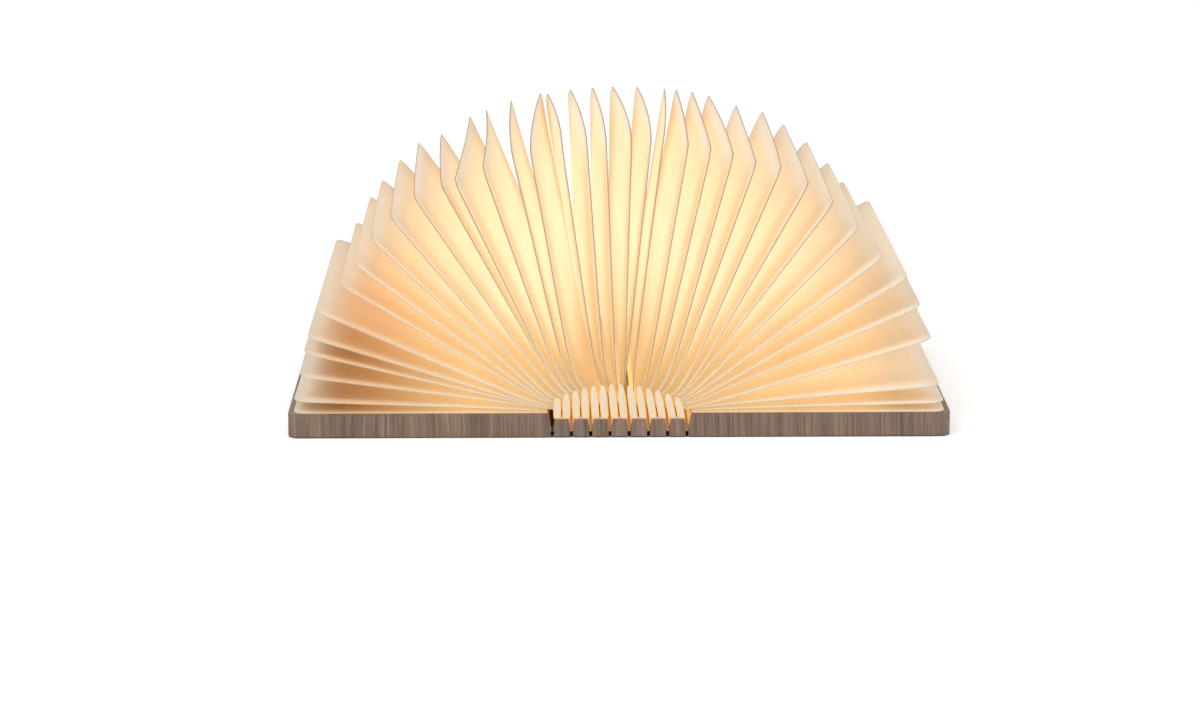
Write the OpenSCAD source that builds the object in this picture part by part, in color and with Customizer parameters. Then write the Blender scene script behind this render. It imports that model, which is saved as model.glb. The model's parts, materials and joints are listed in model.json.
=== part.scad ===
// Folding book lamp, open flat on its covers: two wooden covers, a spine of bevelled wooden slats
// hinged on cloth, and a fan of paper leaves lit from the spine.
// X runs across the open book, Y along the spine, Z up. The origin is under the middle slat,
// on the surface that the lamp lies on.

/* [Covers] */
// Width of one cover, from its hinge line to its fore-edge
cover_w = 70; // [64:1:90]
// Length of the covers and the slats along the spine
cover_d = 112; // [104:1:150]
// Thickness of a cover
cover_t = 6.1; // [5.6:0.1:7.4]
// Radius of the two fore-edge corners of a cover
cover_corner_r = 3; // [1:0.5:8]
// How far the paper stays inside the edges of the covers
paper_inset = 1.5; // [0.5:0.1:4]

/* [Spine] */
// Distance from one hinge line of the spine to the next
slat_pitch = 5.1; // [4.8:0.1:6.5]
// Thickness of a spine slat
slat_t = 4.6; // [3.8:0.1:5.6]
// Height of the hinge cloth above the outer face
hinge_z = 1.3; // [1:0.1:1.7]
// Half the gap between two slats at the hinge line
joint_gap = 0.03; // [0.02:0.01:0.1]
// Spare angle on each bevel when the book is shut
bevel_spare = 0.6; // [0.3:0.1:1.5]
// Half the width of the groove under each hinge line
groove_half_w = 0.4; // [0.38:0.01:0.6]

/* [Hinge cloth] */
// Thickness of the hinge cloth
cloth_t = 0.3; // [0.2:0.05:0.5]
// How far a cloth strip reaches to each side of its hinge line
cloth_reach = 1.4; // [1:0.1:1.8]
// Clearance between the cloth and the slot that it is glued into
cloth_clear = 0.02; // [0.01:0.01:0.05]
// How far the cloth stays inside the ends of the slats
cloth_inset = 1.6; // [1:0.1:3]
// Clearance beyond each end of a cloth strip in its slot
cloth_end_clear = 0.5; // [0.2:0.1:0.8]

/* [Leaves] */
// Width of the middle leaf, from its root to its outer edge
leaf_w = 69.5; // [57:0.5:88]
// How much wider the leaves halfway to the covers are
leaf_extra_w = 1.6; // [0:0.1:2]
// Thickness of the leaf paper
leaf_t = 0.22; // [0.15:0.01:0.27]
// Radius of the rounded outer corners of a leaf
leaf_corner_r = 3.5; // [1:0.5:8]
// How much the rolled root of a leaf stands out from its faces
root_bead = 0.04; // [0.02:0.01:0.06]
// Height of the middle leaf roots above the hinge line
middle_root_h = 7.5; // [6:0.1:9]
// Gap between a leaf root and the strip that it is glued along
root_gap = 0.2; // [0.1:0.05:0.3]
// Distance from a cover's hinge line to the root of the leaf that it carries
cover_root_x = 3.6; // [3.4:0.1:6]

/* [Root strips] */
// Half the width of a root strip where it lies on its slat
strip_half_w = 1.7; // [1.5:0.05:1.75]
// Thickness of the base of a root strip
strip_base_t = 0.5; // [0.3:0.1:0.8]
// Width of one end loop
loop_w = 1.5; // [1:0.1:1.7]
// Thickness of the end loops along the spine
loop_t = 1.3; // [0.8:0.1:1.4]
// Top of the tallest end loops above the outer face
loop_top = 14; // [11:0.5:18]
// How much lower the outermost end loops are than the middle ones
loop_drop = 4.2; // [0:0.1:5]
// How far the end loops stay inside the ends of the slats
loop_inset = 0.2; // [0:0.1:1]
// Distance from the middle of a slat to the middle of an end loop
loop_x = 1.15; // [1:0.05:1.25]
// Gap between the ends of the leaves and the end loops
leaf_end_gap = 0.3; // [0.2:0.1:1]

/* [Light and power] */
// Width of the LED strip
led_strip_w = 2.2; // [1.8:0.1:2.4]
// Thickness of the LED strip without its lamps
led_strip_t = 0.4; // [0.2:0.1:0.6]
// Height of one LED above its strip
led_h = 0.6; // [0.4:0.1:0.8]
// Length of one LED along the strip
led_len = 2.8; // [2:0.1:3.5]
// Number of LEDs
led_count = 12; // [6:1:18]
// How far the LED strip stays inside the ends of the leaves
led_inset = 2; // [1:0.5:6]
// Width of the battery cell across the book
battery_w = 46; // [30:1:46]
// Length of the battery cell along the spine
battery_d = 44; // [30:1:48]
// Thickness of the battery cell
battery_t = 3.4; // [2.5:0.1:3.6]
// Distance from the battery to the fore-edge and to the near end of the cover
battery_edge = 10; // [10:0.5:14]
// Width of the control board
board_w = 24; // [20:1:30]
// Length of the control board
board_d = 36; // [28:1:38]
// Thickness of the control board
board_t = 0.8; // [0.6:0.1:1]
// Thickness of the wood left under the pockets
pocket_floor = 1.9; // [1.4:0.1:2.2]
// Clearance round what lies in a pocket
pocket_clear = 0.6; // [0.3:0.1:1]
// How far the endpaper laps over the wood round a pocket
lining_lap = 1.5; // [1:0.1:3]

/* [Charging socket] */
// Outer width of the socket shell
socket_w = 8.9; // [8.9:0.1:9.2]
// Outer height of the socket shell
socket_h = 3.2; // [3.1:0.05:3.3]
// Depth of the socket shell
socket_d = 7.3; // [6.5:0.1:9]
// Wall of the socket shell
socket_wall = 0.3; // [0.2:0.05:0.4]
// How far the socket mouth lies inside the edge of the cover
socket_recess = 0.4; // [0:0.1:1]
// Clearance round the socket in the wood
socket_clear = 0.2; // [0.1:0.05:0.4]

/* [Magnets] */
// Diameter of a catch magnet
magnet_dia = 6; // [4:0.5:8]
// Thickness of a catch magnet
magnet_t = 3; // [1.5:0.5:3.5]
// Thickness of the wood left outside a magnet
magnet_floor = 1; // [0.6:0.1:1.5]
// Distance from a magnet's centre to the fore-edge and to the end of the cover
magnet_edge = 7; // [6:0.5:12]
// Clearance round a magnet in its bore
magnet_clear = 0.05; // [0.02:0.01:0.1]

/* [Hidden] */
slat_count = 7;
middle_slat = 4;
slat_side = 3;            // slats on each side of the middle one
leaf_count = 35;
middle_leaf = 18;
cover_leaf = 17;          // the last leaf of a side, which is rooted on the cover
turn = 180 / (slat_count + 1);
bevel = turn / 2 + bevel_spare;
half_spine = slat_pitch * slat_count / 2;
leaf_d = cover_d - 2 * (loop_inset + loop_t + leaf_end_gap);
slot_d = cover_d - 2 * (cloth_inset - cloth_end_clear);
bead_r = leaf_t / 2 + root_bead;
seat_gap = 0.02;          // between pieces that are glued face to face
round_fn = 48;
corner_step = 15;         // degrees of one flat on a leaf's corner
over = 1;                 // how far a cutter runs past what it cuts

// Lean of each leaf from upright, from left to right, as the open book fans them
leaf_leans = [
    -88, -83, -78, -74.5, -69, -64, -57.5, -52, -46, -40, -36, -31.5, -26, -20, -15, -12, -8,
    -3.5,
    1, 5.5, 8, 11.5, 15.5, 19.5, 25, 28.5, 34, 40.5, 48, 54.5, 60, 66.5, 75, 84, 88.5
];
// The leaves of one side that each slat carries, from the middle slat outwards, as the number of
// the first and the last, counted from the middle leaf
slat_leaves = [[-2, 2], [3, 7], [8, 12], [13, 16]];
// Direction of the row of leaf roots on each slat, in degrees from the slat's upright
root_row = [90, 95, 115, 140];

// Where the middle of a slat and the cover's hinge line come to lie when the book is shut
function shut_slat_x(i) =
    i == 0 ? 0 : shut_slat_x(i - 1) + slat_pitch / 2 * (cos((i - 1) * turn) + cos(i * turn));
shut_hinge_x = shut_slat_x(slat_side) + slat_pitch / 2 * cos(slat_side * turn);
shut_half_gap = shut_hinge_x - (cover_t - hinge_z);
leaf_pitch = (shut_half_gap - leaf_t / 2) / (cover_leaf + 1);

// Leaf roots: number n is counted from the middle leaf, i is a slat counted from the middle one
function side_of(n) = n < 0 ? -1 : 1;
function slat_of(n) = let (a = abs(n)) a <= slat_leaves[0][1] ? 0
    : a <= slat_leaves[1][1] ? 1 : a <= slat_leaves[2][1] ? 2 : 3;
function middle_of(i) = (slat_leaves[i][0] + slat_leaves[i][1]) / 2;
function root_step(i) = leaf_pitch / sin(root_row[i] - i * turn);
function row_h(i) =
    i == 0 ? middle_root_h : (shut_slat_x(i) - middle_of(i) * leaf_pitch) / sin(i * turn);
function row_point(i, m, drop = 0) = [
    m * root_step(i) * sin(root_row[i]) + drop * cos(root_row[i]),
    row_h(i) + m * root_step(i) * cos(root_row[i]) - drop * sin(root_row[i])
];
function slat_root(n) = let (i = slat_of(n), p = row_point(i, abs(n) - middle_of(i)))
    [side_of(n) * (i * slat_pitch + p[0]), hinge_z + p[1]];
function cover_root(n) = [
    side_of(n) * (half_spine + cover_root_x),
    hinge_z + shut_hinge_x - cover_leaf * leaf_pitch
];
function leaf_root(n) = abs(n) == cover_leaf ? cover_root(n) : slat_root(n);
// Widths that give the shut book a smooth fore-edge, hollow like that of a book with a round spine
function leaf_width(n) = abs(n) == cover_leaf ? cover_w - paper_inset - cover_root_x
    : leaf_w + leaf_extra_w * pow(sin(180 * n / cover_leaf), 2);

// Half the gap between two bevelled faces at a height above the outer face
function cover_edge_x(z) = joint_gap + (z - hinge_z) * tan(bevel);
// Height of the end loops across the spine
function loop_top_at(x) = loop_top - loop_drop * pow(x / half_spine, 2);

// Turns an outline drawn in X and Z into a bar that runs along the spine
module bar(length) {
    rotate([90, 0, 0]) linear_extrude(height = length, center = true) children();
}

// What a hinge line takes out of the wood beside it: groove, round relief and slot for the cloth,
// which stops short of the ends of the slats
module hinge_cut() {
    translate([-groove_half_w, -cover_d, -over])
        cube([2 * groove_half_w, 2 * cover_d, hinge_z + over]);
    translate([0, 0, hinge_z]) rotate([90, 0, 0])
        cylinder(r = groove_half_w, h = 2 * cover_d, center = true, $fn = round_fn);
    translate([0, 0, hinge_z])
        cube([2 * (cloth_reach + cloth_clear), slot_d, cloth_t + 2 * cloth_clear], center = true);
}

module slat(k) {
    half_foot = slat_pitch / 2 - joint_gap;
    half_top = slat_pitch / 2 - cover_edge_x(slat_t);
    color("rosybrown") translate([(k - middle_slat) * slat_pitch, 0, 0]) difference() {
        bar(cover_d) polygon([
            [-half_foot, 0], [half_foot, 0], [half_foot, hinge_z],
            [half_top, slat_t], [-half_top, slat_t], [-half_foot, hinge_z]
        ]);
        for (side = [-1, 1]) translate([side * slat_pitch / 2, 0, 0]) hinge_cut();
    }
}

// A plan outline from the hinge line outwards, with its two outer corners rounded
module plan(w, d, r) {
    translate([0, -d / 2 + r]) square([w, d - 2 * r]);
    translate([0, -d / 2]) square([w - r, d]);
    for (side = [-1, 1]) translate([w - r, side * (d / 2 - r)]) circle(r = r, $fn = round_fn);
}

// A cover lying to the right of its hinge line, with its bevelled edge, hinge groove and bores
module cover_board() {
    difference() {
        linear_extrude(height = cover_t) plan(cover_w, cover_d, cover_corner_r);
        bar(2 * cover_d) polygon([
            [-over, -over], [joint_gap, -over], [joint_gap, hinge_z],
            [cover_edge_x(cover_t + over), cover_t + over], [-over, cover_t + over]
        ]);
        hinge_cut();
        for (side = [-1, 1])
            translate([cover_w - magnet_edge, side * (cover_d / 2 - magnet_edge), magnet_floor])
                cylinder(d = magnet_dia + 2 * magnet_clear, h = cover_t, $fn = round_fn);
    }
}

module at_right_cover() {
    translate([half_spine, 0, 0]) children();
}

module at_left_cover() {
    translate([-half_spine, 0, 0]) mirror([1, 0, 0]) children();
}

module left_cover() {
    color("rosybrown") at_left_cover() cover_board();
}

// Places in the right cover, measured from its hinge line and from the middle of the spine
battery_left = cover_w - battery_edge - battery_w;
battery_foot = battery_edge - cover_d / 2;
battery_head = battery_foot + battery_d;
board_left = battery_left - 3;
board_head = cover_d / 2 - paper_inset - lining_lap - pocket_clear;
board_foot = board_head - board_d;
board_top = pocket_floor + board_t;
wire_x = battery_left + 8;
wire_w = 8;
socket_x = board_left + board_w / 2;
socket_z = board_top + socket_h / 2;

// A pocket with a clearance round what lies in it, open at the inner face of the cover
module pocket(x, y, w, d) {
    translate([x - pocket_clear, y - pocket_clear, pocket_floor])
        cube([w + 2 * pocket_clear, d + 2 * pocket_clear, cover_t]);
}

module right_cover() {
    color("rosybrown") at_right_cover() difference() {
        cover_board();
        pocket(battery_left, battery_foot, battery_w, battery_d);
        pocket(board_left, board_foot, board_w, board_d);
        translate([wire_x - wire_w / 2, battery_head, pocket_floor])
            cube([wire_w, board_foot - battery_head, cover_t]);
        translate([socket_x, cover_d / 2, socket_z]) socket_outline(2 * socket_d, socket_clear);
    }
}

// The rounded outline of the socket as a bar along the spine, grown by a clearance
module socket_outline(length, grow) {
    flat = socket_w - socket_h;
    bar(length) {
        square([flat, socket_h + 2 * grow], center = true);
        for (side = [-1, 1]) translate([side * flat / 2, 0])
            circle(r = socket_h / 2 + grow, $fn = round_fn);
    }
}

module charging_socket() {
    mouth_y = cover_d / 2 - socket_recess;
    back_t = 2 * socket_wall;
    tongue_w = 6.7;
    tongue_t = 0.7;
    tongue_d = socket_d - back_t - 1;
    color("silver") at_right_cover() translate([socket_x, mouth_y, socket_z]) {
        difference() {
            translate([0, -socket_d / 2, 0]) socket_outline(socket_d, 0);
            translate([0, -socket_d / 2 + back_t, 0]) socket_outline(socket_d, -socket_wall);
        }
        translate([-tongue_w / 2, -socket_d + back_t / 2, -tongue_t / 2])
            cube([tongue_w, tongue_d + back_t / 2, tongue_t]);
    }
}

// Sizes of the parts on the board: charge controller, driver coil, switch sensor and connector
charger = [5, 5, 1];
coil = [5, 5, 2];
sensor = [3, 1.6, 1.1];
connector = [7, 5, 2.6];

module control_board() {
    middle_y = (board_foot + board_head) / 2;
    color("darkgreen") at_right_cover() {
        translate([board_left, board_foot, pocket_floor]) cube([board_w, board_d, board_t]);
        translate([socket_x - charger[0], middle_y, board_top]) cube(charger);
        translate([socket_x + 3, middle_y, board_top]) cube(coil);
        translate([socket_x + 3, middle_y - coil[1], board_top]) cube(sensor);
        translate([wire_x - connector[0] / 2, board_foot + 1, board_top]) cube(connector);
    }
}

module battery() {
    terrace_d = 3;
    terrace_drop = 0.8;
    lead_r = 0.5;
    lead_x = 1.5;
    lead_z = board_top + connector[2] / 2;
    color("silver") at_right_cover() {
        translate([battery_left, battery_foot, pocket_floor])
            cube([battery_w, battery_d - terrace_d, battery_t]);
        // The folded terrace where the leads come out
        translate([battery_left, battery_head - terrace_d, pocket_floor])
            cube([battery_w, terrace_d, battery_t - terrace_drop]);
        for (side = [-1, 1]) translate([wire_x + side * lead_x, battery_head - terrace_d / 2, lead_z])
            rotate([-90, 0, 0]) cylinder(
                r = lead_r, h = board_foot + 1 - seat_gap - battery_head + terrace_d / 2,
                $fn = round_fn);
    }
}

// The sheet that lines a cover and closes its pockets
module endpaper() {
    inner = cover_edge_x(cover_t) + leaf_t;
    translate([inner, 0, cover_t]) linear_extrude(height = leaf_t)
        plan(cover_w - paper_inset - inner, cover_d - 2 * paper_inset, cover_corner_r);
}

module left_endpaper() {
    color("wheat") at_left_cover() endpaper();
}

module right_endpaper() {
    color("wheat") at_right_cover() endpaper();
}

module magnets() {
    for (side = [-1, 1])
        translate([cover_w - magnet_edge, side * (cover_d / 2 - magnet_edge), magnet_floor])
            cylinder(d = magnet_dia, h = magnet_t, $fn = round_fn);
}

module left_magnets() {
    color("gray") at_left_cover() magnets();
}

module right_magnets() {
    color("gray") at_right_cover() magnets();
}

// One strip of cloth for each hinge line of the spine
module hinge_strips() {
    color("saddlebrown") for (k = [0:slat_count])
        translate([k * slat_pitch - half_spine, 0, hinge_z])
            cube([2 * cloth_reach, cover_d - 2 * cloth_inset, cloth_t], center = true);
}

module led_strip() {
    strip_d = leaf_d - 2 * led_inset;
    led_pitch = strip_d / led_count;
    led_w = led_strip_w - 0.4;
    color("white") translate([0, 0, slat_t]) {
        translate([-led_strip_w / 2, -strip_d / 2, 0]) cube([led_strip_w, strip_d, led_strip_t]);
        for (k = [0:led_count - 1]) translate([-led_w / 2, (k + 0.5) * led_pitch - strip_d / 2, 0])
            translate([0, -led_len / 2, 0]) cube([led_w, led_len, led_strip_t + led_h]);
    }
}

// The soft strip on a slat that the leaf roots are glued along, with two upright loops at each end
module root_strip(k) {
    i = abs(k - middle_slat);
    side = side_of(k - middle_slat);
    strip_d = cover_d - 2 * loop_inset;
    color("ivory") translate([(k - middle_slat) * slat_pitch, 0, 0]) difference() {
        union() {
            translate([-strip_half_w, -strip_d / 2, slat_t])
                cube([2 * strip_half_w, strip_d, strip_base_t]);
            root_block(i, side);
            for (end = [-1, 1], arm = [-1, 1]) end_loop(k, end, arm, strip_d);
        }
        if (i == 0) led_channel();
    }
}

// The raised part of a root strip, from the slat up to just below the row of leaf roots
module root_block(i, side) {
    reach = (slat_leaves[i][1] - slat_leaves[i][0]) / 2 + 0.4;
    drop = bead_r + root_gap;
    foot = slat_t - hinge_z;
    foot_x = side * (strip_half_w - 0.2);
    outer = row_point(i, reach, drop);
    inner = row_point(i, -reach, drop);
    translate([0, 0, hinge_z]) bar(leaf_d - led_inset / 2) polygon([
        [-foot_x, foot], [foot_x, foot], [side * outer[0], outer[1]], [side * inner[0], inner[1]]
    ]);
}

// The closed channel in the middle root strip that the LED strip lies in
module led_channel() {
    channel_w = led_strip_w + 2 * seat_gap;
    channel_d = leaf_d - led_inset;
    translate([-channel_w / 2, -channel_d / 2, slat_t - over])
        cube([channel_w, channel_d, led_strip_t + led_h + seat_gap + over]);
}

// An upright loop with a round top. Its height follows the dome of the loops across the spine
module end_loop(k, end, arm, strip_d) {
    x = arm * loop_x;
    top = loop_top_at((k - middle_slat) * slat_pitch + x);
    translate([x, end * (strip_d - loop_t) / 2, 0]) bar(loop_t) {
        translate([-loop_w / 2, slat_t]) square([loop_w, top - loop_w / 2 - slat_t]);
        translate([0, top - loop_w / 2]) circle(d = loop_w, $fn = round_fn);
    }
}

// A leaf upright on its root, with its two outer corners rounded by short flats
module leaf_sheet(w) {
    half = leaf_d / 2;
    r = leaf_corner_r;
    corner = [for (a = [-90:corner_step:0]) [w - r + r * cos(a), -half + r + r * sin(a)]];
    mirrored = [for (a = [0:corner_step:90]) [w - r + r * cos(a), half - r + r * sin(a)]];
    rotate([0, -90, 0]) linear_extrude(height = leaf_t, center = true)
        polygon(concat([[0, -half]], corner, mirrored, [[0, half]]));
    rotate([90, 0, 0]) cylinder(r = bead_r, h = leaf_d, center = true, $fn = round_fn);
}

module leaf(k) {
    n = k - middle_leaf;
    root = leaf_root(n);
    color("wheat") translate([root[0], 0, root[1]]) rotate([0, leaf_leans[k - 1], 0])
        leaf_sheet(leaf_width(n));
}

left_cover();
right_cover();
left_endpaper();
right_endpaper();
left_magnets();
right_magnets();
battery();
control_board();
charging_socket();
led_strip();
hinge_strips();
for (k = [1:slat_count]) slat(k);
for (k = [1:slat_count]) root_strip(k);
for (k = [1:leaf_count]) leaf(k);
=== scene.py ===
import json
import math

import bmesh
import bpy
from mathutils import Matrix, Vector


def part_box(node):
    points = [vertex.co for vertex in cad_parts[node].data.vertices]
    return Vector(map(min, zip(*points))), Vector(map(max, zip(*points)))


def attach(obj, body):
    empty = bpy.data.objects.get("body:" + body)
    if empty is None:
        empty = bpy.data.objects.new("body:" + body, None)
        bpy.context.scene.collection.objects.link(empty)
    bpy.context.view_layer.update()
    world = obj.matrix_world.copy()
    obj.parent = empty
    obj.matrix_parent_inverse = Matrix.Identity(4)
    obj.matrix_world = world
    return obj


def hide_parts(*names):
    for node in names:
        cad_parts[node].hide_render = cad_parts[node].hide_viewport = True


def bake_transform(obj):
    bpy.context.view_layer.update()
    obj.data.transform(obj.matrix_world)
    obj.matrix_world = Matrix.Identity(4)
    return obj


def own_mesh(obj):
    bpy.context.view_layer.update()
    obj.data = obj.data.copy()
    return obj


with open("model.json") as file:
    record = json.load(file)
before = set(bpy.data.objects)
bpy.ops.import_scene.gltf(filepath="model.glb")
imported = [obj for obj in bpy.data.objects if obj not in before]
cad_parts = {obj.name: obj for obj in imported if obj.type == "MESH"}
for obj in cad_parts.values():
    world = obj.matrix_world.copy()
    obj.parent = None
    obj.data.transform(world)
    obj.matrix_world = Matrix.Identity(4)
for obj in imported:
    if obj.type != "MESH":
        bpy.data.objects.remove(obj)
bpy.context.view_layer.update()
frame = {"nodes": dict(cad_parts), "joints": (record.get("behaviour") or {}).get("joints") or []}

bl_info = {
    "name": "Folding book lamp",
    "version": (1, 0, 0),
    "blender": (4, 5, 0),
    "location": "3D View > Sidebar > Book lamp",
    "description": "Wooden covers, a slatted spine and a lit fan of paper leaves on the lamp's "
                   "fixed frame",
    "category": "Add Mesh",
}

MM = 0.001
MM_PER_M = 1000.0
LEAF_COUNT = 35
MIDDLE_LEAF = 18
SLAT_COUNT = 7
SLAT_BODIES = ["left_slat_3", "left_slat_2", "left_slat_1", "spine_centre",
               "right_slat_1", "right_slat_2", "right_slat_3"]

# The shape of each leaf, by its number counted from the middle one: how much further it leans than
# its flat sheet and how far its near corner leans past its middle, both in degrees to the right,
# how far its near and its far end bend outwards over the spine, and how far its outer edge and its
# middle bow outwards, all four in millimetres.
LEAF_SHAPE = {
    -17: (0.0, 0.3, -0.2, -0.2, 0.4, 0.0), -16: (0.5, 0.2, -0.2, -0.3, 0.5, 0.0),
    -15: (0.6, 0.1, 0.8, 0.7, 0.5, 0.0), -14: (0.4, 0.1, 1.6, 1.1, 0.5, 0.0),
    -13: (0.5, 0.1, 2.6, 1.8, 0.5, 0.0), -12: (0.9, 1.0, 3.6, 2.6, 0.5, 0.0),
    -11: (0.4, 0.2, 4.8, 3.4, 0.3, 0.0), -10: (0.3, 1.0, 5.8, 4.0, 0.8, 0.0),
    -9: (0.3, 0.9, 6.4, 4.2, 0.6, 0.0), -8: (0.2, 1.2, 5.8, 4.2, 0.4, 0.0),
    -7: (-0.2, 1.5, 7.4, 4.4, 0.5, 0.0), -6: (0.4, -1.0, 8.2, 4.6, -0.6, 0.0),
    -5: (-0.1, 0.3, 8.4, 4.4, -0.8, 0.0), -4: (0.2, 0.5, 8.0, 4.6, 0.7, 0.0),
    -3: (0.4, -1.2, 7.2, 3.2, 0.9, -0.8), -2: (-1.3, 1.7, 4.4, 6.5, -1.0, 1.0),
    -1: (-0.2, 1.6, 3.2, 6.4, -0.9, 3.2), 0: (-0.3, 1.0, 0.8, 4.4, -0.8, 2.0),
    1: (-0.3, 1.4, 0.7, -1.6, 1.3, 0.0), 2: (-0.1, 0.5, 0.0, 0.0, 1.2, 0.0),
    3: (-0.7, -1.6, -1.6, 0.0, 0.6, 0.0), 4: (-0.5, -0.2, 1.6, 0.8, 0.6, 0.0),
    5: (-0.5, 0.4, 3.4, 1.8, 0.4, 0.0), 6: (-0.5, 0.9, 5.8, 3.2, 0.9, 0.0),
    7: (-0.3, 0.0, 6.6, 3.8, 0.1, 0.0), 8: (-0.5, -0.5, 5.6, 3.8, 0.7, 0.0),
    9: (-0.1, 0.0, 5.6, 3.8, 0.6, 0.0), 10: (-0.2, -0.1, 4.4, 3.2, 0.5, 0.0),
    11: (-0.6, 0.1, 4.3, 3.0, 0.7, 0.0), 12: (-0.4, 1.4, 3.2, 2.2, 0.5, 0.0),
    13: (-0.4, 1.1, 1.6, 1.2, 0.5, 0.0), 14: (0.3, 0.4, 0.8, 0.8, 0.5, 0.0),
    15: (-0.6, 0.2, 1.2, 0.9, 0.5, 0.0), 16: (0.6, 0.3, -0.4, -0.4, 0.4, 0.0),
    17: (0.0, 0.0, -0.2, -0.2, 0.3, 0.0),
}
LEAF_CUTS_OUT, LEAF_CUTS_ALONG = 20, 18  # faces of a leaf outwards and along the spine
LEAF_CROWDING = 1.5  # the power that crowds a leaf's faces near its root, where it bends most
LEAF_TUCK = 0.2 * MM  # how far a leaf goes on below its hinge, into the soft strip
LEAF_CORNER_CUTS = 5
LEAF_FULL_AT = 0.25  # the share of its width at which a leaf has its full thickness
BEND_FALL = 0.85  # the power by which the bend falls off outwards, at the middle of the spine,
BEND_FALL_CHANGE = 0.15  # and how much more that power is at the near end and less at the far end

# The edges of the wood
WELD_REACH = 0.002 * MM
SLAT_EDGE = 0.18 * MM
EDGE_ANGLE = math.radians(50)
EDGE_CUTS = 2

# The soft strip of a slat: a flat base, and a block on it that holds the leaf roots
STRIP_W, STRIP_T = 3.4 * MM, 0.5 * MM
STRIP_EDGE = 0.12 * MM
BLOCK_FOOT = 1.5 * MM  # half the width of the block's foot
BLOCK_LAP = 0.18 * MM  # how far the block's top goes past its outermost leaf roots,
BLOCK_DEPTH = 0.30 * MM  # and how far it lies below them
BLOCK_FOOT_Z = 0.1 * MM  # the height of the block's foot over the slat
BLOCK_SETBACK = 2.3 * MM  # how far the block stops short of the strip's ends
SLAT_REACH = 2 * MM  # a slat's leaf roots are nearer than this to its middle

# The end loops: two arms side by side at each end of a slat
LOOP_T = 1.3 * MM
LOOP_CUTS = 20
ARM_SIDE = 1.2 * MM  # how far each arm stands beside the middle of its slat
# The arms reach up to a dome, DOME_Z high over the middle of the spine and DOME_DROP lower at
# DOME_REACH from it.
DOME_Z, DOME_DROP, DOME_REACH = 14.0 * MM, 4.2 * MM, 17.85 * MM
# Powers that make an arm blunter than a ball, which has 1. It is widest at a share of its height.
BLUNT_TOP, BLUNT_FOOT = 0.7, 0.25
ARM_TAPER, ARM_WIDEST = 0.5, 0.42

# The hinge cloth
CLOTH_REACH = 1.4 * MM  # half the width of a strip
CLOTH_CUTS = 10

# The stage, in metres
FLOOR_SIZE = 6.0
FLOOR_DROP = 0.0003
FLOOR_SHADE, FLOOR_ROUGHNESS = (0.93, 0.93, 0.93, 1.0), 0.9
FLOOR_GLOW = 0.32
OPEN_AIR = (0.1, 0.5)  # how open a place on the floor must be to glow
OPEN_AIR_REACH = 10 * MM
WHITE = (1.0, 1.0, 1.0, 1.0)
ROOM_LIGHT, ROOM_SEEN = 0.62, 1.0
# The name, place, size and power in watts of each light
LIGHTS = (
    ("key", (-0.9, -1.1, 1.3), 1.0, 13.0),
    ("fill", (1.2, -0.9, 0.8), 1.2, 6.0),
)
LIGHTS_AIM = (0, 0, 0.03)
CAMERA_PLACE = (-0.01974, -1.00293, 0.22804)
CAMERA_YAW, CAMERA_PITCH = math.radians(0.88), math.radians(12.4)
CAMERA_LENS, CAMERA_SENSOR = 110.3, 36.0
CAMERA_CLIP = (0.01, 20.0)

# The materials. Places and lengths in them are in millimetres, but for the height of a bump. A pair
# of numbers is where a step starts and ends, a noise is its three scales, its detail and its
# roughness, and a bump is its height in metres and its strength.

# The wood: its grain, its fore-edges and the light in the joints
WOOD_SWAY = ((0.03, 0.02, 0.10), 2.0, 0.5)
WOOD_FINE = ((1.9, 0.010, 0.04), 5.0, 0.66)
WOOD_BROAD = ((0.22, 0.004, 0.03), 2.0, 0.5)
WOOD_PORES = ((5.0, 0.02, 0.10), 2.0, 0.7)
SWAY_WIDTH = 1.6
FINE_SHARE, BROAD_SHARE = 0.75, 0.35
WOOD_STOPS = (0.38, 0.50, 0.58, 0.70)
WOOD_SHARES = (0.55, 0.72)  # of the light wood, at the two middle stops
WOOD_BUMP = (0.05 * MM, 0.5)
WOOD_ROUGHNESS, GRAIN_ROUGHNESS = 0.42, 0.25
PORE_TONE, PORE_TONE_SHARE = (0.54, 0.72), 0.6
PORE_DEPTH, PORE_DEPTH_SHARE = (0.56, 0.70), 0.5
ON_FORE_EDGE = (0.6, 0.8)
JOINT_FACE = (0.93, 0.97)
JOINT_Z = (1.4, 3.8)
JOINT_FROM_X, JOINT_TO_X = (-17.2, -16.8), (30.0, 29.0)
JOINT_POWER = 0.7

# The paper: outwards, 1 is FAN_REACH from the middle of the fan. A lean is 0 upright and 1 flat.
# SUNK and LYING are ranges of it, for leaves that lean low and for those that are all but flat.
PAPER_FIBRES = ((0.9, 0.9, 0.9), 6.0, 0.7)
PAPER_CLOUDS = ((0.07, 0.07, 0.07), 2.0, 0.5)
PAPER_BUMP, PAPER_ROUGHNESS = (0.03 * MM, 0.4), 0.72
FIBRE_TONES = (0.30, 0.70)
FIBRE_SHADE, FIBRE_LIGHT = (0.93, 0.93, 0.93), (1.0, 1.0, 1.0)
FAN_MIDDLE_Z = 7.0
FAN_REACH = 80.0
LEFT_HALF = (2.0, -2.0)
LEAF_ENDS = (26.0, 54.0)
# EDGE_LEAN: where the painted shade on the edges of the upright leaves gives way to the plain edge
# colour
EDGE_LEAN = (0.6, 0.95)
# OUTER_PAPER: where the painted shade near the spine gives way to the plain paper
OUTER_PAPER = (0.55, 0.95)
FAR_OUT = (0.45, 0.98)
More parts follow.
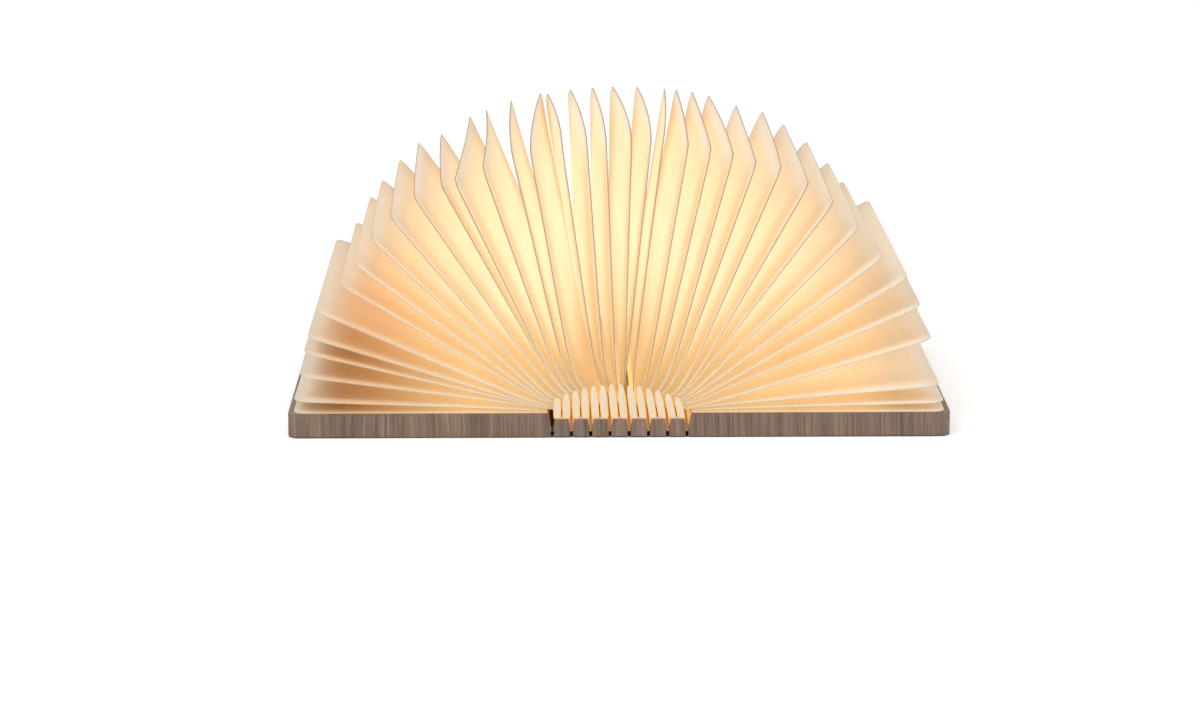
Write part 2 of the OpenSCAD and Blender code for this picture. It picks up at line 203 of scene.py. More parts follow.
# Where the painted warm shade lies on the low leaves: by their lean, and outwards
PAINTED_SHADE_LEAN, PAINTED_SHADE_TIPS = (0.80, 1.0), (1.07, 0.90)
GLOW_OUTWARDS = [(0.12, 0.44), (0.28, 0.58), (0.50, 0.63), (0.68, 0.56), (0.80, 0.42),
                 (0.93, 0.22)]
WARMTH_OUTWARDS = [(0.12, 0.80), (0.30, 0.25), (0.50, 0.00), (0.70, 0.08), (0.90, 0.20)]
END_WARMTH, END_DIM = 0.80, 0.22
SUNK_FROM, SUNK_FROM_LEFT, SUNK_TO = 0.76, 0.06, 1.02
SUNK_WARMTH, SUNK_WARMTH_LEFT = 0.38, 0.12
SUNK_DIM, SUNK_DIM_LEFT = 0.06, 0.10
LYING, LYING_DIM = (0.92, 1.0), 0.50
CLOUD_SHARE, CLOUD_BASE = 0.2, 0.90
EDGE_POWER = 0.10

# The soft strips and their end loops
SOFT_FLUFF = ((2.5, 2.5, 2.5), 5.0, 0.7)
SOFT_BUMP, SOFT_ROUGHNESS = (0.08 * MM, 0.6), 0.85
FLUFF_TONES, FLUFF_SHADE = (0.3, 0.7), 0.88
# Where the painted orange light lies on the loops: their sides and, less, their feet
LOOP_SIDE = (0.10, 0.85)
LOOP_FOOT, LOOP_FOOT_SHARE = (9.0, 4.5), 0.35
LOOP_POWER = 0.42
SLAT_PITCH = 5.1
STRIP_ENDS = (50.0, 54.0)
BASE_TOP, BASE_MIDDLE = (5.0, 5.3), (1.6, 1.2)
# BASE_END_FACE and BASE_END_Z: where the painted warm shade on the end faces lies
BASE_END_FACE, BASE_END_Z = (0.5, 0.9), (5.2, 5.1)
STRIP_POWER = 0.7

# The hinge cloth
WEAVE_SCALE = 18.0
WEAVE_SHARE, WEAVE_BASE, WEAVE_LIGHT = 0.3, 0.4, 1.6
CLOTH_BUMP, CLOTH_ROUGHNESS = (0.03 * MM, 0.6), 0.9
CLOTH_POWER = 0.6

# The plastic and metal of the electrics
PLAIN_GRAIN = ((1.5, 1.5, 1.5), 4.0, 0.6)
PLAIN_BUMP = (0.01 * MM, 0.3)
PLAIN_DARK = 0.85
PLAIN_SPREAD, PLAIN_START = 0.15, 0.07  # how far the roughness spreads, and from how far below


class LampSizes(bpy.types.PropertyGroup):
    """Sizes of the pieces that are modelled here."""

    leaf_t: bpy.props.FloatProperty(
        name="Leaf thickness", description="Thickness of a leaf at its outer edges",
        default=0.34 * MM, min=0.1 * MM, max=0.42 * MM, unit="LENGTH", precision=5)
    leaf_root_t: bpy.props.FloatProperty(
        name="Leaf root thickness", description="Thickness of a leaf at its root",
        default=0.16 * MM, min=0.05 * MM, max=0.3 * MM, unit="LENGTH", precision=5)
    leaf_corner: bpy.props.FloatProperty(
        name="Leaf corner", description="Radius of the outer corners of a leaf",
        default=4.5 * MM, min=1 * MM, max=6 * MM, unit="LENGTH", precision=4)
    leaf_bend: bpy.props.FloatProperty(
        name="Leaf bend", description="Distance from the root over which a leaf bends outwards",
        default=5.0 * MM, min=3 * MM, max=15 * MM, unit="LENGTH", precision=4)
    loop_w: bpy.props.FloatProperty(
        name="Loop width", description="Width of one arm of the spine's end loops",
        default=2.15 * MM, min=1 * MM, max=2.2 * MM, unit="LENGTH", precision=4)
    loop_lean: bpy.props.FloatProperty(
        name="Loop lean", description="Lean to the left of the end loops on the rightmost slat",
        default=math.radians(12), min=0, max=math.radians(15), subtype="ANGLE")
    edge_round: bpy.props.FloatProperty(
        name="Cover edge", description="Rounding of the edges of the wooden covers",
        default=0.35 * MM, min=0.1 * MM, max=0.5 * MM, unit="LENGTH", precision=4)


def colour(name, description, default):
    """A colour that the panel shows."""
    return bpy.props.FloatVectorProperty(
        name=name, description=description, default=default, subtype="COLOR", size=3, min=0, max=1)


class LampColours(bpy.types.PropertyGroup):
    """Colours of the materials, as linear light."""

    wood_light: colour("Light wood", "Lightest grain of the wood", (0.305, 0.208, 0.148))
    wood_dark: colour("Dark wood", "Darkest grain of the wood", (0.105, 0.066, 0.044))
    paper: colour("Paper", "The outer part of the leaves without their light", (0.78, 0.69, 0.57))
    # Painted shade: the paper is given a darker colour near the spine
    paper_inner_painted_shade: colour("Inner paper", "The leaves near the spine without their light",
                        (0.50, 0.46, 0.38))
    # Painted warm shade on the outer part of the lowest leaves on the left
    paper_low_painted_shade: colour("Low paper tint", "Tint of the lowest leaves on the left", (0.97, 0.74, 0.54))
    # Painted shade: the cut edges of the upright leaves are given a darker colour
    edge_upright_painted_shade: colour("Upright edge", "The cut edges of the upright leaves", (0.50, 0.34, 0.20))
    edge_low: colour("Low edge", "The cut edges of the low leaves", (0.78, 0.66, 0.50))
    glow_cream: colour("Cream glow", "Light in the upright leaves", (1.0, 0.80, 0.53))
    glow_orange: colour("Orange glow", "Light in the low leaves and near the roots",
                        (1.0, 0.60, 0.25))
    glow_joint: colour("Joint glow", "Light between the slats and their strips", (1.0, 0.46, 0.14))
    glow_loop: colour("Loop glow", "Light on the sides of the end loops", (1.0, 0.58, 0.15))
    soft: colour("Soft strip", "The soft strips and their end loops", (0.80, 0.74, 0.66))
    # Painted orange light and shade on the sides of the end loops
    loop_side_painted_light: colour("Loop side", "The sides of the end loops", (0.70, 0.42, 0.14))
    strip_shadow: colour("Strip shadow", "The ends of the strips between the loops",
                         (0.10, 0.04, 0.018))
    # Painted warm shade on the end faces of the soft strips
    strip_end_painted_shade: colour("Strip end", "The end faces of the soft strips", (0.62, 0.40, 0.27))
    cloth: colour("Hinge cloth", "The cloth that joins the slats", (0.13, 0.045, 0.025))


class Graph:
    """A short way to write a material's nodes."""

    def __init__(self, name):
        self.material = bpy.data.materials.new(name)
        self.material.use_nodes = True
        self.tree = self.material.node_tree
        self.shader = self.tree.nodes["Principled BSDF"]

    def add(self, kind, inputs=(), **settings):
        made = self.tree.nodes.new(kind)
        for key, value in settings.items():
            setattr(made, key, value)
        for key, value in dict(inputs).items():
            self.put(made.inputs[key], value)
        return made

    def put(self, socket, value):
        if isinstance(value, bpy.types.NodeSocket):
            self.tree.links.new(value, socket)
        else:
            socket.default_value = value

    def math(self, operation, a, b=0.0, c=0.0, clamp=False):
        return self.add("ShaderNodeMath", {0: a, 1: b, 2: c}, operation=operation,
                        use_clamp=clamp).outputs[0]

    def plus(self, a, b, clamp=False):
        return self.math("ADD", a, b, clamp=clamp)

    def minus(self, a, b):
        return self.math("SUBTRACT", a, b)

    def times(self, a, b):
        return self.math("MULTIPLY", a, b)

    def most(self, a, b):
        return self.math("MAXIMUM", a, b)

    def size(self, value):
        """The value without its sign."""
        return self.math("ABSOLUTE", value)

    def steps(self, value, low, high):
        """0 at low, 1 at high and smooth between them."""
        return self.add("ShaderNodeMapRange", {"Value": value, "From Min": low, "From Max": high},
                        interpolation_type="SMOOTHSTEP").outputs["Result"]

    def either(self, share, a, b):
        """Goes from the number a to the number b."""
        return self.add("ShaderNodeMix", {0: share, 2: a, 3: b}, data_type="FLOAT").outputs[0]

    def mix(self, share, a, b, blend="MIX"):
        """Goes from the colour a to the colour b."""
        made = self.add("ShaderNodeMix", {0: share}, data_type="RGBA", blend_type=blend)
        for socket, value in ((made.inputs[6], a), (made.inputs[7], b)):
            self.put(socket, value if isinstance(value, bpy.types.NodeSocket) else (*value, 1.0))
        return made.outputs[2]

    def ramp(self, value, stops):
        """Goes through the stops, each a place with a colour or a number."""
        made = self.add("ShaderNodeValToRGB", {"Fac": value})
        points = made.color_ramp.elements
        while len(points) < len(stops):
            points.new(0.5)
        for point, (place, shade) in zip(points, stops):
            point.position = place
            point.color = (*shade, 1.0) if hasattr(shade, "__len__") else (shade, shade, shade, 1.0)
        return made.outputs["Color"]

    def place(self):
        """The point on the piece in millimetres, as X, Y and Z."""
        point = self.add("ShaderNodeTexCoord").outputs["Object"]
        scaled = self.add("ShaderNodeVectorMath", {0: point, "Scale": MM_PER_M}, operation="SCALE")
        return self.add("ShaderNodeSeparateXYZ", {0: scaled.outputs[0]}).outputs

    def facing(self):
        """How squarely the surface faces X, Y and Z, each from 0 to 1."""
        normal = self.add("ShaderNodeTexCoord").outputs["Normal"]
        return [self.size(part) for part in
                self.add("ShaderNodeSeparateXYZ", {0: normal}).outputs]

    def noise(self, place, scales, detail, rough):
        """Noise at the place, which the three scales stretch or shrink first."""
        parts = [self.times(part, scale) for part, scale in zip(place, scales)]
        point = self.add("ShaderNodeCombineXYZ", dict(enumerate(parts))).outputs[0]
        return self.add("ShaderNodeTexNoise", {"Vector": point, "Scale": 1.0, "Detail": detail,
                                               "Roughness": rough}).outputs["Fac"]

    def bump(self, height, distance, strength):
        self.put(self.shader.inputs["Normal"], self.add("ShaderNodeBump", {
            "Height": height, "Distance": distance, "Strength": strength}).outputs["Normal"])

    def finish(self, base, roughness, glow=None, strength=1.0):
        self.put(self.shader.inputs["Base Color"], base)
        self.put(self.shader.inputs["Roughness"], roughness)
        if glow is not None:
            self.put(self.shader.inputs["Emission Color"], glow)
            self.shader.inputs["Emission Strength"].default_value = strength
        return self.material


def dimmed(shade, share):
    """The colour at a share of its lightness."""
    return [v * share for v in shade]


def wood_material(name):
    """Fine straight grain along the spine, with light on the bevels inside the joints."""
    colours = bpy.context.scene.lamp_colours
    g = Graph(name)
    x, y, z = g.place()
    face = g.facing()
    # The lines lie side by side across the lamp, and on the fore-edges one above the other.
    on_fore_edge = g.steps(face[0], *ON_FORE_EDGE)
    across, through = g.either(on_fore_edge, x, z), g.either(on_fore_edge, z, x)
    line = g.plus(across, g.times(g.noise((x, y, z), *WOOD_SWAY), SWAY_WIDTH))
    fine, broad, pores = [g.noise((line, y, through), *grain)
                          for grain in (WOOD_FINE, WOOD_BROAD, WOOD_PORES)]
    tone = g.plus(g.times(fine, FINE_SHARE), g.times(broad, BROAD_SHARE))
    shades = [colours.wood_dark, *[dimmed(colours.wood_light, share) for share in WOOD_SHARES],
              colours.wood_light]
    base = g.ramp(tone, list(zip(WOOD_STOPS, shades)))
    pore_tone = g.times(g.steps(pores, *PORE_TONE), PORE_TONE_SHARE)
    base = g.mix(pore_tone, base, colours.wood_dark)
    pore_depth = g.times(g.steps(pores, *PORE_DEPTH), PORE_DEPTH_SHARE)
    g.bump(g.minus(fine, pore_depth), *WOOD_BUMP)
    roughness = g.plus(g.times(fine, GRAIN_ROUGHNESS), WOOD_ROUGHNESS)
    # Only the sides of the joints of the spine are lit, not the fore-edges.
    in_spine = g.times(g.steps(x, *JOINT_FROM_X), g.steps(x, *JOINT_TO_X))
    in_joint = g.times(g.times(g.steps(face[0], *JOINT_FACE), g.steps(z, *JOINT_Z)), in_spine)
    glow = g.mix(in_joint, (0, 0, 0), colours.glow_joint)
    return g.finish(base, roughness, glow, JOINT_POWER)


def paper_material(name, edge=False):
    """Fibre paper lit from the spine: cream when upright, orange when low and near the ends."""
    colours = bpy.context.scene.lamp_colours
    g = Graph(name)
    x, y, z = g.place()
    fibres, clouds = g.noise((x, y, z), *PAPER_FIBRES), g.noise((x, y, z), *PAPER_CLOUDS)
    height = g.minus(z, FAN_MIDDLE_Z)
    reach = g.math("SQRT", g.plus(g.math("POWER", x, 2.0), g.math("POWER", height, 2.0)))
    outer = g.times(reach, 1 / FAN_REACH)
    # 0 on the upright leaves and 1 on those that lie flat
    low = g.math("DIVIDE", g.size(x), reach)
    left, end = g.steps(x, *LEFT_HALF), g.steps(g.size(y), *LEAF_ENDS)
    far_out = g.steps(outer, *FAR_OUT)
    if edge:
        # Painted shade: the cut edges are darker on the upright leaves than on the low ones
        shade = g.mix(g.steps(low, *EDGE_LEAN), colours.edge_upright_painted_shade, colours.edge_low)
    else:
        # Painted shade: the paper is darker towards the spine
        shade = g.mix(g.steps(outer, *OUTER_PAPER), colours.paper_inner_painted_shade, colours.paper)
    base = g.mix(1.0, g.mix(g.steps(fibres, *FIBRE_TONES), FIBRE_SHADE, FIBRE_LIGHT), shade,
                 "MULTIPLY")
    # Painted warm shade: the outer part of the low leaves on the left is made darker and more
    # orange
    painted_shade = g.times(g.times(left, far_out), g.steps(low, *PAINTED_SHADE_LEAN))
    painted_shade = g.times(painted_shade, g.steps(outer, *PAINTED_SHADE_TIPS))
    base = g.mix(painted_shade, base, colours.paper_low_painted_shade, "MULTIPLY")
    g.bump(fibres, *PAPER_BUMP)
    # How orange the light is: near the roots, near the ends and on the leaves that lie low
    sunk = g.steps(low, g.minus(SUNK_FROM, g.times(left, SUNK_FROM_LEFT)), SUNK_TO)
    warm = g.plus(g.ramp(outer, WARMTH_OUTWARDS), g.times(end, END_WARMTH))
    warm_low = g.times(sunk, g.plus(SUNK_WARMTH, g.times(left, SUNK_WARMTH_LEFT)))
    glow = g.mix(g.plus(warm, warm_low, clamp=True), colours.glow_cream, colours.glow_orange)
    # How strong it is: weaker outwards, near the ends and on the low leaves, most on the left
    dim = g.plus(g.times(g.steps(low, *LYING), LYING_DIM), g.times(sunk, SUNK_DIM_LEFT))
    dim = g.plus(g.times(g.times(left, far_out), dim), g.times(sunk, SUNK_DIM))
    dim = g.times(g.minus(1.0, dim), g.minus(1.0, g.times(end, END_DIM)))
    power = g.times(g.ramp(outer, GLOW_OUTWARDS), dim)
    power = g.times(power, g.plus(g.times(clouds, CLOUD_SHARE), CLOUD_BASE))
    glow = g.mix(1.0, glow, power, "MULTIPLY")
    return g.finish(base, PAPER_ROUGHNESS, glow, EDGE_POWER if edge else 1.0)


def soft_material(name, loops):
    """Soft white felt that is lit from inside, but not on its end faces."""
    colours = bpy.context.scene.lamp_colours
    g = Graph(name)
    x, y, z = g.place()
    face = g.facing()
    fluff = g.noise((x, y, z), *SOFT_FLUFF)
    g.bump(fluff, *SOFT_BUMP)
    shade = g.mix(g.steps(fluff, *FLUFF_TONES), dimmed(colours.soft, FLUFF_SHADE), colours.soft)
    if loops:
        # Painted light: the sides and the feet of the loops get an orange colour and an orange glow
        side = g.most(g.steps(face[0], *LOOP_SIDE),
                      g.times(g.steps(z, *LOOP_FOOT), LOOP_FOOT_SHARE))
        base = g.mix(side, shade, colours.loop_side_painted_light)
        glow = g.mix(1.0, colours.glow_loop, g.times(side, LOOP_POWER), "MULTIPLY")
        return g.finish(base, SOFT_ROUGHNESS, glow)
    near_end = g.steps(g.size(y), *STRIP_ENDS)
    off_middle = g.size(g.math("WRAP", x, SLAT_PITCH / 2, -SLAT_PITCH / 2))
    shadow = g.times(g.times(near_end, g.steps(z, *BASE_TOP)), g.steps(off_middle, *BASE_MIDDLE))
    # Painted warm shade: the end faces get a darker orange colour and no glow
    end_face = g.times(g.steps(face[1], *BASE_END_FACE), g.steps(z, *BASE_END_Z))
    base = g.mix(end_face, g.mix(shadow, shade, colours.strip_shadow), colours.strip_end_painted_shade)
    dark = g.most(g.most(shadow, end_face), g.times(near_end, face[2]))
    glow = g.mix(1.0, colours.glow_joint, g.times(g.minus(1.0, dark), STRIP_POWER), "MULTIPLY")
    return g.finish(base, SOFT_ROUGHNESS, glow)


def cloth_material(name, glowing):
    """Plain-woven cloth, lit where the light from the spine reaches it."""
    colours = bpy.context.scene.lamp_colours
    g = Graph(name)
    x, y, _ = g.place()
    warp, weft = [g.math("SINE", g.times(part, WEAVE_SCALE)) for part in (x, y)]
    weave = g.times(warp, weft)
    g.bump(weave, *CLOTH_BUMP)
    base = g.mix(g.plus(g.times(weave, WEAVE_SHARE), WEAVE_BASE), colours.cloth,
                 dimmed(colours.cloth, WEAVE_LIGHT))
    return g.finish(base, CLOTH_ROUGHNESS, (*colours.glow_joint, 1.0),
                    CLOTH_POWER if glowing else 0.0)


def plain_material(name, shade, roughness, metallic=0.0, glow=None):
    """Plastic or metal with a fine grain in its colour and its roughness."""
    g = Graph(name)
    grain = g.noise(g.place(), *PLAIN_GRAIN)
    g.bump(grain, *PLAIN_BUMP)
    g.shader.inputs["Metallic"].default_value = metallic
    rough = g.plus(g.times(grain, PLAIN_SPREAD), roughness - PLAIN_START)
    return g.finish(g.mix(grain, dimmed(shade, PLAIN_DARK), shade), rough, glow and (*glow, 1.0))


def new_piece(name, bm, materials, smooth=True):
    """Turns a finished bmesh, in place in the frame, into a piece."""
    mesh = bpy.data.meshes.new(name)
    bm.to_mesh(mesh)
    bm.free()
    for material in materials:
        mesh.materials.append(material)
    for face in mesh.polygons:
        face.use_smooth = smooth
    piece = bpy.data.objects.new(name, mesh)
    bpy.context.scene.collection.objects.link(piece)
    return piece


def paint(node, material):
    """Gives a CAD node its material."""
    for slot in frame["nodes"][node].material_slots:
        slot.material = material


def leaf_root(k):
    """The point on the hinge of a leaf."""
    return Vector(next(j for j in frame["joints"] if j["name"] == f"leaf_{k}_hinge")["pos_m"])


class LAMP_OT_stage(bpy.types.Operator):
    """Makes the pale floor, the soft lights and the camera"""

    bl_idname = "book_lamp.stage"
    bl_label = "Stage"

    def execute(self, context):
        self.floor()
        self.room(context.scene)
        for name, place, size, power in LIGHTS:
            light = bpy.data.lights.new(name, "AREA")
            light.size, light.energy = size, power
            self.aim(context.scene, name, light, place, Vector(LIGHTS_AIM) - Vector(place))
        lens = bpy.data.cameras.new("camera")
        lens.lens, lens.sensor_width = CAMERA_LENS, CAMERA_SENSOR
        lens.clip_start, lens.clip_end = CAMERA_CLIP
        ahead = Vector((math.sin(CAMERA_YAW) * math.cos(CAMERA_PITCH),
                        math.cos(CAMERA_YAW) * math.cos(CAMERA_PITCH), -math.sin(CAMERA_PITCH)))
        context.scene.camera = self.aim(context.scene, "camera", lens, CAMERA_PLACE, ahead)
        context.scene.view_settings.view_transform = "Standard"
        return {"FINISHED"}

    def floor(self):
        """A pale floor that looks white to the camera, but doesn't glow under the lamp."""
        bm = bmesh.new()
        bmesh.ops.create_grid(bm, x_segments=1, y_segments=1, size=FLOOR_SIZE)
        bmesh.ops.translate(bm, vec=(0, 0, -FLOOR_DROP), verts=bm.verts)
        g = Graph("Pale floor")
        seen = g.add("ShaderNodeLightPath").outputs["Is Camera Ray"]
        open_air = g.add("ShaderNodeAmbientOcclusion", {"Distance": OPEN_AIR_REACH}).outputs["AO"]
        seen = g.times(seen, g.steps(open_air, *OPEN_AIR))
        g.shader.inputs["Emission Color"].default_value = WHITE
        g.put(g.shader.inputs["Emission Strength"], g.times(seen, FLOOR_GLOW))
        floor = new_piece("floor", bm, [g.finish(FLOOR_SHADE, FLOOR_ROUGHNESS)])

    def room(self, scene):
        """Even light from all round, white where it is seen or mirrored."""
        world = bpy.data.worlds.new("Soft room")
        world.use_nodes = True
        nodes, links = world.node_tree.nodes, world.node_tree.links
        path = nodes.new("ShaderNodeLightPath")
        seen = nodes.new("ShaderNodeMath")
        seen.operation = "MAXIMUM"
        links.new(path.outputs["Is Camera Ray"], seen.inputs[0])
        links.new(path.outputs["Is Glossy Ray"], seen.inputs[1])
        level = nodes.new("ShaderNodeMapRange")
        level.inputs["To Min"].default_value = ROOM_LIGHT
        level.inputs["To Max"].default_value = ROOM_SEEN
        links.new(seen.outputs[0], level.inputs["Value"])
        links.new(level.outputs["Result"], nodes["Background"].inputs["Strength"])
        nodes["Background"].inputs["Color"].default_value = WHITE
        scene.world = world

    def aim(self, scene, name, data, place, ahead):
        """Puts a light or a camera in its place, looking ahead."""
        made = bpy.data.objects.new(name, data)
        made.location = place
        made.rotation_euler = ahead.to_track_quat("-Z", "Y").to_euler()
        scene.collection.objects.link(made)
        return made


class LAMP_OT_wood(bpy.types.Operator):
    """Gives the covers and slats their wood and rounds their edges"""

    bl_idname = "book_lamp.wood"
    bl_label = "Wooden covers and slats"

    def execute(self, context):
        wood = wood_material("Walnut")
        covers = ["left_cover", "right_cover"]
        for node in covers + [f"slat_{k}" for k in range(1, SLAT_COUNT + 1)]:
            paint(node, wood)
            piece = frame["nodes"][node]
            weld = piece.modifiers.new("Weld", "WELD")
            weld.merge_threshold = WELD_REACH
            bevel = piece.modifiers.new("Edge", "BEVEL")
            bevel.limit_method = "ANGLE"
            bevel.angle_limit = EDGE_ANGLE
            bevel.width = context.scene.lamp_sizes.edge_round if node in covers else SLAT_EDGE
            bevel.segments = EDGE_CUTS
        return {"FINISHED"}


class LAMP_OT_leaves(bpy.types.Operator):
    """Makes the paper leaves as thin curved sheets and lines the covers"""

    bl_idname = "book_lamp.leaves"
    bl_label = "Paper leaves"

    def execute(self, context):
        paper, edge = paper_material("Leaf paper"), paper_material("Leaf edge", True)
        for k in range(1, LEAF_COUNT + 1):
            self.leaf(k, context.scene.lamp_sizes, [paper, edge])
        for side in ("left", "right"):
            paint(f"{side}_endpaper", paper)
        return {"FINISHED"}

    def leaf(self, k, sizes, materials):
        """One leaf on its hinge."""
        root = leaf_root(k)
        low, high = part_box(f"leaf_{k}")
        side = -1 if k <= MIDDLE_LEAF else 1
        tip = Vector((low.x if side < 0 else high.x, 0, high.z))
        width, length = math.hypot(tip.x - root.x, tip.z - root.z), high.y - low.y
        flat = math.atan2(tip.x - root.x, tip.z - root.z)
        bm, shares = self.sheet(k, sizes, root, side, flat, width, length)
        piece = new_piece(f"paper_leaf_{k:02d}", bm, materials)
        group = piece.vertex_groups.new(name="thickness")
        for index, share in enumerate(shares):
            group.add([index], min(1.0, share / LEAF_FULL_AT), "REPLACE")
        solid = piece.modifiers.new("Thickness", "SOLIDIFY")
        solid.thickness, solid.offset = sizes.leaf_t, 0.0
        solid.vertex_group = group.name
        solid.thickness_vertex_group = sizes.leaf_root_t / sizes.leaf_t
        solid.material_offset_rim = 1
        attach(piece, f"leaf_{k}")
        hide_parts(f"leaf_{k}")
        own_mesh(piece)

    def sheet(self, k, sizes, root, side, flat, width, length):
        """The bent sheet, and how far out each of its points is as a share of its width."""
        more, twist, near_bend, far_bend, bow, belly = LEAF_SHAPE[k - MIDDLE_LEAF]
        lean = flat + math.radians(more)
        bm = bmesh.new()
        bmesh.ops.create_grid(bm, x_segments=LEAF_CUTS_OUT, y_segments=LEAF_CUTS_ALONG, size=0.5)
        for v in bm.verts:
            out = (width + LEAF_TUCK) * (v.co.x + 0.5) ** LEAF_CROWDING - LEAF_TUCK
            v.co = (out, v.co.y * length, 0)
        corners = [v for v in bm.verts if len(v.link_edges) == 2 and v.co.x > 0]
        bmesh.ops.bevel(bm, geom=corners, offset=sizes.leaf_corner, affect="VERTICES",
                        segments=LEAF_CORNER_CUTS, profile=0.5, material=-1)
        shares = []
        for v in bm.verts:
            # along goes from -1 at the near end to 1 at the far end.
            out, along = v.co.x, 2 * v.co.y / length
            share = max(0.0, out / width)
            angle = lean - math.radians(twist) * along
            bend = (near_bend * (1 - along) + far_bend * (1 + along)) / 2 * MM
            drop = bend * max(0.0, 1 - share) ** (BEND_FALL - BEND_FALL_CHANGE * along)
            drop *= 1 - math.exp(-share * width / sizes.leaf_bend)
            swell = bow * share * share + belly * 4 * share * (1 - share)
            drop = side * (drop + swell * MM * (1 - along * along))
            v.co = (root.x + out * math.sin(angle) + drop * math.cos(angle), v.co.y,
                    root.z + out * math.cos(angle) - drop * math.sin(angle))
            shares.append(share)
        return bm, shares


class LAMP_OT_soft_strips(bpy.types.Operator):
    """Makes the soft strip of each slat and its upright end loops"""

    bl_idname = "book_lamp.soft_strips"
    bl_label = "Soft strips and end loops"

    def execute(self, context):
        sizes = context.scene.lamp_sizes
        strip, loops = soft_material("Soft strip", False), soft_material("End loop", True)
        for k, body in enumerate(SLAT_BODIES, 1):
            node = f"root_strip_{k}"
            low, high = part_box(node)
            slat_low, slat_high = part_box(f"slat_{k}")
            middle, slat_top = (slat_low.x + slat_high.x) / 2, slat_high.z
            piece = self.strip(k, low.y, high.y, middle, slat_top, strip)
            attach(piece, body)
            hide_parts(node)
            lean = sizes.loop_lean * (k - 1) / (SLAT_COUNT - 1)
            arms = self.loops(k, high.y, middle, slat_top, lean, sizes.loop_w, loops)
            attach(arms, body)
            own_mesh(arms)
        return {"FINISHED"}

    def strip(self, k, near_y, far_y, middle, slat_top, material):
        """The flat base on the slat and the block below the leaf roots."""
        bm = bmesh.new()
        base = bmesh.ops.create_cube(bm, size=1.0)["verts"]
        bmesh.ops.scale(bm, vec=(STRIP_W, far_y - near_y, STRIP_T), verts=base)
        bmesh.ops.translate(bm, vec=(middle, 0, slat_top + STRIP_T / 2), verts=base)
        # The first and the last leaf have their roots on the covers.
        roots = [root for root in map(leaf_root, range(2, LEAF_COUNT))
                 if abs(root.x - middle) < SLAT_REACH]
        left, right = min(roots, key=lambda p: p.x), max(roots, key=lambda p: p.x)
        for v in bmesh.ops.create_cube(bm, size=1.0)["verts"]:
            root, out = (left, -1) if v.co.x < 0 else (right, 1)
            y = (far_y - BLOCK_SETBACK) * (1 if v.co.y > 0 else -1)
            if v.co.z > 0:
                v.co = (root.x + out * BLOCK_LAP, y, root.z - BLOCK_DEPTH)
            else:
                v.co = (middle + out * BLOCK_FOOT, y, slat_top + BLOCK_FOOT_Z)
        bmesh.ops.bevel(bm, geom=list(bm.edges), offset=STRIP_EDGE, affect="EDGES", segments=2,
                        profile=0.5, material=-1)
        return new_piece(f"soft_strip_{k}", bm, [material])

    def loops(self, k, end_y, middle, slat_top, lean, arm_w, material):
        """Two rounded arms at each end, as high as the dome of the loops."""
        bm = bmesh.new()
        for end in (-1, 1):
            for arm in (-1, 1):
                x = middle + arm * ARM_SIDE
                height = DOME_Z - DOME_DROP * (x / DOME_REACH) ** 2 - slat_top
                verts = bmesh.ops.create_uvsphere(bm, u_segments=LOOP_CUTS, v_segments=LOOP_CUTS,
                                                  radius=1.0)["verts"]
                for v in verts:
                    up = abs(v.co.z)
                    blunt = BLUNT_TOP if v.co.z > 0 else BLUNT_FOOT
                    ring = math.sqrt(max(0.0, 1 - up * up))
                    spread = ring ** (blunt - 1) if ring > 1e-6 else 0.0
                    rise = 0.5 + math.copysign(up ** blunt, v.co.z) / 2
                    width = arm_w / 2 * spread * (1.0 - ARM_TAPER * (rise - ARM_WIDEST) ** 2)
                    v.co = (v.co.x * width - math.tan(lean) * rise * height,
                            v.co.y * spread * LOOP_T / 2, rise * height)
                bmesh.ops.translate(bm, vec=(x, end * (end_y - LOOP_T / 2), slat_top), verts=verts)
        return new_piece(f"end_loops_{k}", bm, [material])


class LAMP_OT_hinge_cloth(bpy.types.Operator):
    """Makes the cloth strips that bend between the slats"""

    bl_idname = "book_lamp.hinge_cloth"
    bl_label = "Hinge cloth"

    def execute(self, context):
        materials = [cloth_material("Hinge cloth dark", False), cloth_material("Hinge cloth", True)]
        low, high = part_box("hinge_strips")
        thick = high.z - low.z
        for k in range(SLAT_COUNT + 1):
            x = (low.x + CLOTH_REACH) + k * (high.x - low.x - 2 * CLOTH_REACH) / SLAT_COUNT
            bm = bmesh.new()
            bmesh.ops.create_grid(bm, x_segments=CLOTH_CUTS, y_segments=1, size=0.5)
            bmesh.ops.scale(bm, vec=(2 * CLOTH_REACH, high.y - low.y, 1), verts=bm.verts)
            bmesh.ops.translate(bm, vec=(x, 0, (low.z + high.z) / 2 - thick / 2), verts=bm.verts)
            bmesh.ops.solidify(bm, geom=list(bm.faces), thickness=thick)
            bmesh.ops.recalc_face_normals(bm, faces=bm.faces)
            # The light reaches the tops of all strips but the leftmost.
            for face in bm.faces:
                face.material_index = 1 if face.normal.z > 0.5 and k > 0 else 0
            piece = new_piece(f"hinge_cloth_{k + 1}", bm, materials, False)
            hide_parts("hinge_strips")
            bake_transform(piece)
        return {"FINISHED"}


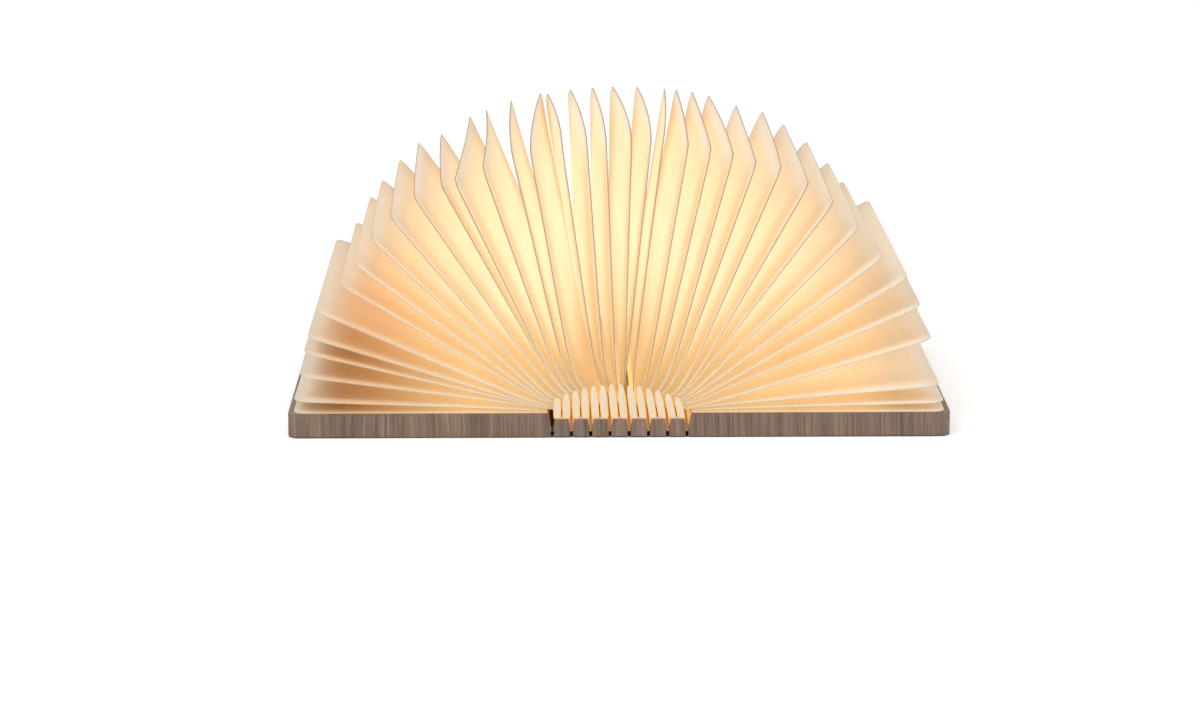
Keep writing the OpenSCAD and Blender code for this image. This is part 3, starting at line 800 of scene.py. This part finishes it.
class LAMP_OT_electrics(bpy.types.Operator):
    """Gives the light, the cell, the board, the socket and the magnets their finishes"""

    bl_idname = "book_lamp.electrics"
    bl_label = "Light, cell, board, socket and magnets"

    def execute(self, context):
        paint("led_strip", plain_material("Light strip", (0.95, 0.85, 0.6), roughness=0.4,
                                          glow=(1, 0.7, 0.32)))
        paint("battery", plain_material("Cell pouch", (0.62, 0.63, 0.65), roughness=0.35,
                                        metallic=0.8))
        paint("control_board", plain_material("Board", (0.02, 0.10, 0.05), roughness=0.4))
        paint("charging_socket", plain_material("Socket steel", (0.55, 0.55, 0.57), roughness=0.3,
                                                metallic=1.0))
        magnet = plain_material("Magnet", (0.6, 0.6, 0.62), roughness=0.2, metallic=1.0)
        for side in ("left", "right"):
            paint(f"{side}_magnets", magnet)
        return {"FINISHED"}


class LAMP_PT_panel(bpy.types.Panel):
    """Lists the sizes, the colours and the steps that make the lamp"""

    bl_idname = "LAMP_PT_panel"
    bl_label = "Book lamp"
    bl_space_type = "VIEW_3D"
    bl_region_type = "UI"
    bl_category = "Book lamp"

    def draw(self, context):
        for group in (context.scene.lamp_sizes, context.scene.lamp_colours):
            for name in group.__annotations__:
                self.layout.prop(group, name)
        for step in STEPS:
            self.layout.operator(step.bl_idname)


STEPS = (LAMP_OT_stage, LAMP_OT_wood, LAMP_OT_leaves, LAMP_OT_soft_strips, LAMP_OT_hinge_cloth,
         LAMP_OT_electrics)
CLASSES = (LampSizes, LampColours, *STEPS, LAMP_PT_panel)


def register():
    for item in CLASSES:
        bpy.utils.register_class(item)
    bpy.types.Scene.lamp_sizes = bpy.props.PointerProperty(type=LampSizes)
    bpy.types.Scene.lamp_colours = bpy.props.PointerProperty(type=LampColours)


def unregister():
    del bpy.types.Scene.lamp_colours
    del bpy.types.Scene.lamp_sizes
    for item in reversed(CLASSES):
        bpy.utils.unregister_class(item)


def main():
    register()
    bpy.ops.book_lamp.stage()
    bpy.ops.book_lamp.wood()
    bpy.ops.book_lamp.leaves()
    bpy.ops.book_lamp.soft_strips()
    bpy.ops.book_lamp.hinge_cloth()
    bpy.ops.book_lamp.electrics()


if __name__ == "__main__":
    main()
